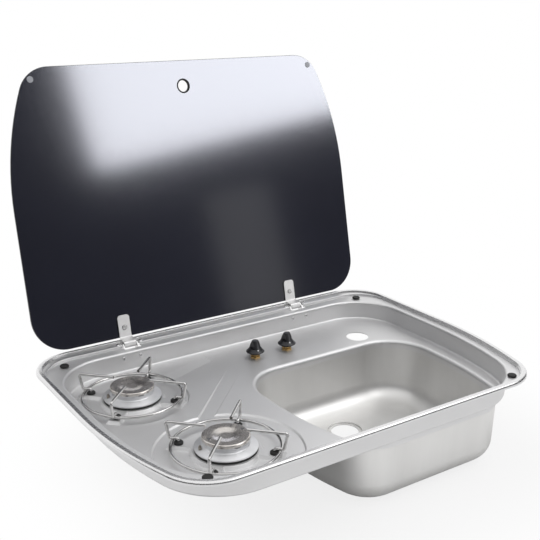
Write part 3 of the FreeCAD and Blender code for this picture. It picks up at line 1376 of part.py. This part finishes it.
for thing in doc.Objects:
    if "Invalid" in thing.State or "Error" in thing.State:
        raise RuntimeError(thing.Label + " is " + ", ".join(thing.State))

os.makedirs("parts", exist_ok=True)
for node in NODES:
    shape = doc.getObjectsByLabel(node)[0].Shape
    if shape.isNull() or not shape.isValid() or shape.Volume <= 0:
        raise RuntimeError(node + " is not a sound solid")
    shape.exportStep("parts/%s.step" % node)
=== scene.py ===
import json
import math

import bmesh
import bpy
from mathutils import Matrix, Vector


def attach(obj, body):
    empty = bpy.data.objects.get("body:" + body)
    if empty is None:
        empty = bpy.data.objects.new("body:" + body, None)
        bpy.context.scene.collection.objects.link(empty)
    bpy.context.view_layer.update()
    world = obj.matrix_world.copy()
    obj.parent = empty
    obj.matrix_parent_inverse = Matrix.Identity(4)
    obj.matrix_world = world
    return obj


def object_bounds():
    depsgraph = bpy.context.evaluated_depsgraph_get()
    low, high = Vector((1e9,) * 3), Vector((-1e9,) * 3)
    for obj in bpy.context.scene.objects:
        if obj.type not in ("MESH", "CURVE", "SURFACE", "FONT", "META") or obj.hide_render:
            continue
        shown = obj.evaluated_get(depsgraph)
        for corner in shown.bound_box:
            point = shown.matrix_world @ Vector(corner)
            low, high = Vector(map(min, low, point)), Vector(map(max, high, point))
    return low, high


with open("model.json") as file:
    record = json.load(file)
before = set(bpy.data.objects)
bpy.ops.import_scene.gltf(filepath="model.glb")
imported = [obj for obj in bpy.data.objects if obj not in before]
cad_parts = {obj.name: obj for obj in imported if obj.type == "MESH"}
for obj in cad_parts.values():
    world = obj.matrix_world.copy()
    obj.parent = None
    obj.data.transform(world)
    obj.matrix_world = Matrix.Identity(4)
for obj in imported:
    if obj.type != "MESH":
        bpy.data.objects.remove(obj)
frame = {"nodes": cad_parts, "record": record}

cad_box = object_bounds()
scene = bpy.context.scene
nodes = frame["nodes"]

# Places on the solid model, in metres

HOB_FLOOR_Z = -0.029
KNOB_X = {"left": 0.017, "right": 0.074}
KNOB_Y = 0.1135
HINGE_X = {"left": -0.1475, "right": 0.1475}
FINGER_HOLE = (0, 0.28723, 0.35610)
LID_NORMAL = (0, -0.97833, 0.20706)
UPWARD = (0, 0, 1)
FORWARD = (0, -1, 0)

# Stretches of a noise: even, drawn out along Z and drawn out along X

EVEN = (1, 1, 1)
ALONG_Z = (1, 1, 0.1)
ALONG_X = (0.08, 1, 1)

WHITE = (1, 1, 1, 1)


# Node helpers

def new_material(name):
    """A material with its node tree and its main shader."""
    material = bpy.data.materials.new(name)
    material.use_nodes = True
    tree = material.node_tree
    shader = next(node for node in tree.nodes if node.type == "BSDF_PRINCIPLED")
    return material, tree, shader


def own_place(tree):
    """The shaded point in the object's own metres."""
    return tree.nodes.new("ShaderNodeTexCoord").outputs["Object"]


def combine(tree, operation, first, second):
    """Joins two values with a math node."""
    node = tree.nodes.new("ShaderNodeMath")
    node.operation = operation
    tree.links.new(first, node.inputs[0])
    tree.links.new(second, node.inputs[1])
    return node.outputs["Value"]


def map_range(tree, value, start, end, low, high, smooth=False):
    """Maps a value between start and end to the range low to high."""
    node = tree.nodes.new("ShaderNodeMapRange")
    if smooth:
        node.interpolation_type = "SMOOTHSTEP"
    node.inputs["From Min"].default_value = start
    node.inputs["From Max"].default_value = end
    node.inputs["To Min"].default_value = low
    node.inputs["To Max"].default_value = high
    tree.links.new(value, node.inputs["Value"])
    return node.outputs["Result"]


def noise(tree, scale, detail, stretch=EVEN):
    """Noise in the object's own metres, stretched along its axes."""
    mapping = tree.nodes.new("ShaderNodeMapping")
    mapping.inputs["Scale"].default_value = stretch
    texture = tree.nodes.new("ShaderNodeTexNoise")
    texture.inputs["Scale"].default_value = scale
    texture.inputs["Detail"].default_value = detail
    tree.links.new(own_place(tree), mapping.inputs["Vector"])
    tree.links.new(mapping.outputs["Vector"], texture.inputs["Vector"])
    return texture.outputs["Fac"]


def noise_span(tree, value, low, high):
    """Spreads a noise, which lies mostly between a quarter and three quarters, over low to high."""
    return map_range(tree, value, 0.25, 0.75, low, high)


def noise_colour(tree, value, low, high):
    """Turns a noise into a colour between low and high."""
    node = tree.nodes.new("ShaderNodeValToRGB")
    for stop, position, colour in zip(node.color_ramp.elements, (0.3, 0.7), (low, high)):
        stop.position = position
        stop.color = (*colour, 1)
    tree.links.new(value, node.inputs["Fac"])
    return node.outputs["Color"]


def bump(tree, shader, value, strength, distance):
    """Raises the surface by a value, up to a distance in metres."""
    node = tree.nodes.new("ShaderNodeBump")
    node.inputs["Strength"].default_value = strength
    node.inputs["Distance"].default_value = distance
    tree.links.new(value, node.inputs["Height"])
    tree.links.new(node.outputs["Normal"], shader.inputs["Normal"])


# Materials

def metal(name, low, high, rough, grain, patches, relief, stretch=EVEN, tone_and_reflection_bands=EVEN):
    """Metal with slow tone patches and a fine grain in its roughness and its surface."""
    material, tree, shader = new_material(name)
    shader.inputs["Metallic"].default_value = 1.0
    tone = noise(tree, patches, 3.0, tone_and_reflection_bands)
    tree.links.new(noise_colour(tree, tone, low, high), shader.inputs["Base Color"])
    fine = noise(tree, grain, 4.0, stretch)
    tree.links.new(noise_span(tree, fine, *rough), shader.inputs["Roughness"])
    bump(tree, shader, fine, relief, 0.0002)
    return material


def plain(name, low, high, rough, grain, relief, patches=40, specular=0.5):
    """A non-metal with a mottled tone and a grained surface."""
    material, tree, shader = new_material(name)
    shader.inputs["Specular IOR Level"].default_value = specular
    tone = noise(tree, patches, 4.0)
    tree.links.new(noise_colour(tree, tone, low, high), shader.inputs["Base Color"])
    fine = noise(tree, grain, 4.0)
    tree.links.new(noise_span(tree, fine, *rough), shader.inputs["Roughness"])
    bump(tree, shader, fine, relief, 0.0003)
    return material


SATIN = 0.54
POLISHED = 0.27
RIM_RISE = 0.0035


def pressed_steel():
    """Satin hob floor that turns into a polished rim above the worktop, with a faint grain along X."""
    material, tree, shader = new_material("tray_steel")
    shader.inputs["Metallic"].default_value = 1.0
    tone = noise(tree, 9, 3.0)
    colour = noise_colour(tree, tone, (0.79, 0.788, 0.792), (0.83, 0.828, 0.832))
    tree.links.new(colour, shader.inputs["Base Color"])
    fine = noise(tree, 600, 3.0, ALONG_X)
    grain = noise_span(tree, fine, -0.03, 0.03)
    parts = tree.nodes.new("ShaderNodeSeparateXYZ")
    tree.links.new(own_place(tree), parts.inputs["Vector"])
    finish = map_range(tree, parts.outputs["Z"], 0.0, RIM_RISE, SATIN, POLISHED, smooth=True)
    tree.links.new(combine(tree, "ADD", finish, grain), shader.inputs["Roughness"])
    bump(tree, shader, fine, 0.012, 0.0001)
    return material


# One finish per material slot of the part

FINISHES = {
    "tray_steel": pressed_steel(),
    # The bowl's tone patches are drawn out along Z into soft vertical bands: random tone and painted
    # reflection together
    "bowl_steel": metal("bowl_steel", (0.75, 0.745, 0.735), (0.83, 0.825, 0.815), rough=(0.43, 0.49),
                        grain=500, patches=17, relief=0.012, stretch=ALONG_Z, tone_and_reflection_bands=ALONG_Z),
    "hinge_steel": metal("hinge_steel", (0.76, 0.755, 0.755), (0.83, 0.825, 0.825), rough=(0.44, 0.54),
                         grain=1200, patches=60, relief=0.04, stretch=ALONG_Z),
    "fixing_steel": metal("fixing_steel", (0.66, 0.66, 0.67), (0.78, 0.78, 0.78), rough=(0.10, 0.18),
                          grain=1500, patches=120, relief=0.04),
    "cast_aluminium": metal("cast_aluminium", (0.76, 0.765, 0.78), (0.85, 0.855, 0.87), rough=(0.46, 0.58),
                            grain=1600, patches=45, relief=0.16),
    "cap_steel": metal("cap_steel", (0.62, 0.58, 0.55), (0.74, 0.71, 0.68), rough=(0.20, 0.30),
                       grain=900, patches=50, relief=0.05),
    "chrome_wire": metal("chrome_wire", (0.56, 0.555, 0.55), (0.68, 0.675, 0.67), rough=(0.06, 0.12),
                         grain=800, patches=60, relief=0.03),
    "brass": metal("brass", (0.50, 0.33, 0.13), (0.62, 0.43, 0.19), rough=(0.30, 0.42),
                   grain=1200, patches=80, relief=0.06),
    "spindle_steel": metal("spindle_steel", (0.50, 0.50, 0.50), (0.60, 0.60, 0.60), rough=(0.25, 0.38),
                           grain=1400, patches=60, relief=0.05, stretch=ALONG_Z),
    "couple_steel": metal("couple_steel", (0.30, 0.27, 0.23), (0.46, 0.42, 0.37), rough=(0.28, 0.42),
                          grain=1000, patches=60, relief=0.06),
    "pipe_steel": metal("pipe_steel", (0.48, 0.49, 0.50), (0.60, 0.61, 0.62), rough=(0.30, 0.45),
                        grain=900, patches=50, relief=0.06),
    "black_rubber": plain("black_rubber", (0.010, 0.010, 0.010), (0.022, 0.022, 0.022), rough=(0.55, 0.75),
                          grain=1400, relief=0.25),
    "black_plastic": plain("black_plastic", (0.018, 0.018, 0.021), (0.026, 0.026, 0.030), rough=(0.24, 0.36),
                           grain=900, relief=0.05),
    "clear_plastic": plain("clear_plastic", (0.30, 0.31, 0.34), (0.40, 0.41, 0.44), rough=(0.25, 0.40),
                           grain=700, relief=0.05),
    "smoked_glass": plain("smoked_glass", (0.0066, 0.0068, 0.0102), (0.0078, 0.0082, 0.0125),
                          rough=(0.10, 0.125), grain=220, relief=0.01, patches=6),
}

# The screws through the lid's straps are darker than the other fixings
screw_steel = metal("screw_steel", (0.36, 0.36, 0.36), (0.48, 0.48, 0.48), rough=(0.14, 0.24),
                    grain=1500, patches=120, relief=0.04)

slots = {entry["node"]: entry["material_slot"] for entry in frame["record"]["subparts"]}
for name, node in nodes.items():
    node.data.materials.clear()
    node.data.materials.append(screw_steel if name.startswith("strap_screw") else FINISHES[slots[name]])


# Small trim: index dots on the knobs, near-black discs of painted shade in the holes of the hinge rivets and
# the eyelet in the lid's finger hole

LATHE_STEPS = 32


def lathe(name, profile, place, axis, material, closed=False):
    """Turned piece: pairs of radius and height along an axis, from a place on."""
    mesh = bmesh.new()
    turns = [2 * math.pi * step / LATHE_STEPS for step in range(LATHE_STEPS)]
    rings = []
    for radius, height in profile:
        around = [(radius * math.cos(turn), radius * math.sin(turn), height) for turn in turns]
        rings.append([mesh.verts.new(point) for point in (around if radius else [(0, 0, height)])])
    pairs = list(zip(rings, rings[1:]))
    if closed:
        pairs.append((rings[-1], rings[0]))
    for inner, outer in pairs:
        for step in range(LATHE_STEPS):
            after = (step + 1) % LATHE_STEPS
            corners = ((inner, step), (outer, step), (outer, after), (inner, after))
            loop = [ring[index % len(ring)] for ring, index in corners]
            mesh.faces.new(list(dict.fromkeys(loop)))
    bmesh.ops.recalc_face_normals(mesh, faces=mesh.faces)
    data = bpy.data.meshes.new(name)
    mesh.to_mesh(data)
    mesh.free()
    data.polygons.foreach_set("use_smooth", [True] * len(data.polygons))
    data.materials.append(material)
    piece = bpy.data.objects.new(name, data)
    scene.collection.objects.link(piece)
    piece.location = place
    piece.rotation_euler = Vector(axis).to_track_quat("Z", "Y").to_euler()
    return piece


dot_white = plain("dot_white", (0.78, 0.78, 0.78), (0.86, 0.86, 0.86), rough=(0.4, 0.55),
                  grain=900, relief=0.05)
# Near-black metal for the middles of the rivets: painted shade standing for their holes
rivet_hole_shade = metal("rivet_hole_shade", (0.05, 0.05, 0.05), (0.10, 0.10, 0.10), rough=(0.45, 0.6),
                  grain=1200, patches=80, relief=0.05)

DOT = [(0.0013, -0.0010), (0.0012, 0.0003), (0.0008, 0.0007), (0, 0.0008)]
DOT_ANGLE = math.radians(-97)
DOT_REACH = 0.0100
DOT_HEIGHT = 0.0136
DOT_SLOPE = 0.75
for side, x in KNOB_X.items():
    out = Vector((math.cos(DOT_ANGLE), math.sin(DOT_ANGLE), DOT_SLOPE))
    spot = (x + DOT_REACH * out.x, KNOB_Y + DOT_REACH * out.y, HOB_FLOOR_Z + DOT_HEIGHT)
    dot = lathe("knob_dot_" + side, DOT, spot, out, dot_white)
    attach(dot, "knob_" + side)

# Each row of rivets: its name, the offsets from the hinge's middle, the place along Y and Z and the axis
# A shallow near-black dish in the middle of each rivet: painted shade in place of the rivet's hole
HOLE_SHADE = [(0.0013, -0.0004), (0.0012, 0.0001), (0.0009, 0.00005), (0.0004, -0.0002), (0, -0.00025)]
RIVET_ROWS = (
    ("shelf_hole_shade", (-0.018, 0.018), 0.19825, 0.0037, UPWARD),
    ("wall_hole_shade", (-0.020, 0.006), 0.1718, -0.010, FORWARD),
)
for side, hinge_x in HINGE_X.items():
    for row, offsets, y, z, axis in RIVET_ROWS:
        for number, offset in enumerate(offsets):
            spot = (hinge_x + offset, y, z)
            hole_shade_disc = lathe("%s_%s_%d" % (row, side, number), HOLE_SHADE, spot, axis, rivet_hole_shade)
            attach(hole_shade_disc, "tray")

EYELET = [(0.01095, -0.0021), (0.01095, 0.0021), (0.0104, 0.0024), (0.0094, 0.0024), (0.0088, 0.0020),
          (0.0086, 0.0010), (0.0086, -0.0010), (0.0088, -0.0020), (0.0094, -0.0024), (0.0104, -0.0024)]
eyelet = lathe("finger_eyelet", EYELET, FINGER_HOLE, LID_NORMAL, FINISHES["black_rubber"], closed=True)
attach(eyelet, "lid")


# Studio floor: pale paper that shows as white away from the part and is clear from below

GROUND_HALF = 6
GROUND_DROP = 0.0005
ground_z = cad_box[0][2]


def white_share(tree, middle, half, reach, low):
    """The floor's own white: low over a rectangle, full from a given reach outside it on."""
    steps = (("SUBTRACT", (*middle, 0)), ("ABSOLUTE", None), ("SUBTRACT", (*half, 0)),
             ("MAXIMUM", (0, 0, 0)), ("LENGTH", None))
    value = own_place(tree)
    for operation, operand in steps:
        node = tree.nodes.new("ShaderNodeVectorMath")
        node.operation = operation
        if operand is not None:
            node.inputs[1].default_value = operand
        tree.links.new(value, node.inputs[0])
        value = node.outputs["Value" if operation == "LENGTH" else "Vector"]
    return map_range(tree, value, 0.0, reach, low, 1.0, smooth=True)


def mix_shaders(tree, share, first, second):
    """The second shader by a share, the first for the rest."""
    node = tree.nodes.new("ShaderNodeMixShader")
    tree.links.new(share, node.inputs["Fac"])
    tree.links.new(first, node.inputs[1])
    tree.links.new(second, node.inputs[2])
    return node.outputs["Shader"]


def floor_paper():
    """Paper that takes the part's shadow near it, and is white to the rays that look at it."""
    material, tree, shader = new_material("floor_paper")
    shader.inputs["Roughness"].default_value = 0.9
    shader.inputs["Specular IOR Level"].default_value = 0.1
    tone = noise(tree, 3, 2.0)
    colour = noise_colour(tree, tone, (0.86, 0.86, 0.86), (0.88, 0.88, 0.88))
    tree.links.new(colour, shader.inputs["Base Color"])
    glow = tree.nodes.new("ShaderNodeEmission")
    glow.inputs["Color"].default_value = WHITE
    glow.inputs["Strength"].default_value = 1.0
    path = tree.nodes.new("ShaderNodeLightPath")
    in_view = white_share(tree, (0.07, -0.04), (0.15, 0.12), 0.30, 0.80)
    to_camera = combine(tree, "MULTIPLY", path.outputs["Is Camera Ray"], in_view)
    in_mirror = white_share(tree, (0, 0), (0.27, 0.18), 0.09, 0.0)
    mirrored = combine(tree, "MULTIPLY", path.outputs["Is Glossy Ray"], in_mirror)
    seen = combine(tree, "MAXIMUM", to_camera, mirrored)
    share = combine(tree, "MAXIMUM", seen, path.outputs["Is Transmission Ray"])
    from_above = mix_shaders(tree, share, shader.outputs["BSDF"], glow.outputs["Emission"])
    sides = tree.nodes.new("ShaderNodeNewGeometry")
    clear = tree.nodes.new("ShaderNodeBsdfTransparent")
    surface = mix_shaders(tree, sides.outputs["Backfacing"], from_above, clear.outputs["BSDF"])
    output = next(node for node in tree.nodes if node.type == "OUTPUT_MATERIAL")
    tree.links.new(surface, output.inputs["Surface"])
    return material


floor_mesh = bpy.data.meshes.new("studio_floor")
corners = [(GROUND_HALF * x, GROUND_HALF * y, 0) for x, y in ((-1, -1), (1, -1), (1, 1), (-1, 1))]
floor_mesh.from_pydata(corners, [], [(0, 1, 2, 3)])
floor_mesh.materials.append(floor_paper())
floor = bpy.data.objects.new("studio_floor", floor_mesh)
floor.location.z = ground_z - GROUND_DROP
scene.collection.objects.link(floor)


# Dark curved wall round the front of the studio, which shows in reflections alone

WALL_RADIUS = 4.2
WALL_START = 150
WALL_END = 370
WALL_TOP = 3.2
WALL_STEPS = 48

wall_points = []
for step in range(WALL_STEPS + 1):
    angle = math.radians(WALL_START + (WALL_END - WALL_START) * step / WALL_STEPS)
    across = (WALL_RADIUS * math.cos(angle), WALL_RADIUS * math.sin(angle))
    wall_points += [(*across, z) for z in (ground_z, WALL_TOP)]
wall_faces = [(2 * step, 2 * step + 2, 2 * step + 3, 2 * step + 1) for step in range(WALL_STEPS)]

wall_mesh = bpy.data.meshes.new("front_wall")
wall_mesh.from_pydata(wall_points, [], wall_faces)
wall_mesh.materials.append(plain("front_wall", (0.12, 0.12, 0.123), (0.15, 0.15, 0.155), rough=(0.9, 1.0),
                                 grain=4, relief=0.0, patches=0.8, specular=0.0))
wall = bpy.data.objects.new("front_wall", wall_mesh)
scene.collection.objects.link(wall)
wall.visible_camera = False
wall.visible_diffuse = False
wall.visible_transmission = False
wall.visible_shadow = False


# World: white where it is seen, dimmer as a light

SEEN_STRENGTH = 1.0
LIGHT_STRENGTH = 0.6


def background(tree, strength):
    """A white background of a given strength."""
    node = tree.nodes.new("ShaderNodeBackground")
    node.inputs["Color"].default_value = WHITE
    node.inputs["Strength"].default_value = strength
    return node.outputs["Background"]


world = bpy.data.worlds.new("studio_world")
scene.world = world
world.use_nodes = True
sky = world.node_tree
sky.nodes.clear()
sky_path = sky.nodes.new("ShaderNodeLightPath")
sky_seen = combine(sky, "MAXIMUM", sky_path.outputs["Is Camera Ray"], sky_path.outputs["Is Glossy Ray"])
sky_seen = combine(sky, "MAXIMUM", sky_seen, sky_path.outputs["Is Transmission Ray"])
sky_mix = mix_shaders(sky, sky_seen, background(sky, LIGHT_STRENGTH), background(sky, SEEN_STRENGTH))
sky_output = sky.nodes.new("ShaderNodeOutputWorld")
sky.links.new(sky_mix, sky_output.inputs["Surface"])


# Lamps: a window and a faint strip that the lid mirrors, a front fill for the small pieces and a key light

LID_TINT = (0.90, 0.92, 1.0)
CENTRE = (0, 0, 0)


def soft_light(name, place, target, width, height, watts):
    """Rectangular lamp at a place, turned towards a target."""
    data = bpy.data.lights.new(name, "AREA")
    data.shape = "RECTANGLE"
    data.size = width
    data.size_y = height
    data.energy = watts
    lamp = bpy.data.objects.new(name, data)
    scene.collection.objects.link(lamp)
    lamp.location = place
    lamp.rotation_euler = (Vector(target) - Vector(place)).to_track_quat("-Z", "Y").to_euler()
    return lamp


def light_only(lamp, names):
    """Lets a lamp light the named nodes alone."""
    group = bpy.data.collections.new(lamp.name + "_receivers")
    for name in names:
        group.objects.link(nodes[name])
    lamp.light_linking.receiver_collection = group


lid_light = soft_light("lid_light", (1.90, -2.5, 1.74), (0, 0, 0.9), 1.9, 1.55, 205)
lid_light.data.color = LID_TINT
light_only(lid_light, ["glass_lid"])
lid_strip = soft_light("lid_strip", (1.68, -2.45, 0.30), (0.07, 0.2, 0.1), 0.34, 0.7, 0.75)
light_only(lid_strip, ["glass_lid"])
front_light = soft_light("front_light", (1.5, -2.6, 0.70), CENTRE, 1.5, 1.2, 14)
light_only(front_light, [name for name in nodes if name not in ("glass_lid", "hob_tray", "sink_bowl")])
soft_light("key_light", (1.35, -0.95, 1.95), CENTRE, 1.8, 1.5, 14)


# Camera at the photograph's place, from a perspective fit

RIGHT = Vector((0.833975, -0.551801, 0.000687))
UP = Vector((0.166767, 0.253231, 0.952923))
AHEAD = Vector((0.525998, 0.794600, -0.303211))
EYE = Vector((-0.630460, -0.904389, 0.491254))
SENSOR_MM = 36.0
FOCAL_PIXELS = 873.05
PHOTO_PIXELS = 540.0

lens = bpy.data.cameras.new("photo_camera")
lens.sensor_width = SENSOR_MM
lens.lens = SENSOR_MM * FOCAL_PIXELS / PHOTO_PIXELS
lens.clip_start = 0.05
camera = bpy.data.objects.new("photo_camera", lens)
scene.collection.objects.link(camera)
camera.matrix_world = Matrix(((RIGHT.x, UP.x, -AHEAD.x, EYE.x),
                              (RIGHT.y, UP.y, -AHEAD.y, EYE.y),
                              (RIGHT.z, UP.z, -AHEAD.z, EYE.z),
                              (0, 0, 0, 1)))
scene.camera = camera
scene.view_settings.view_transform = "Standard"
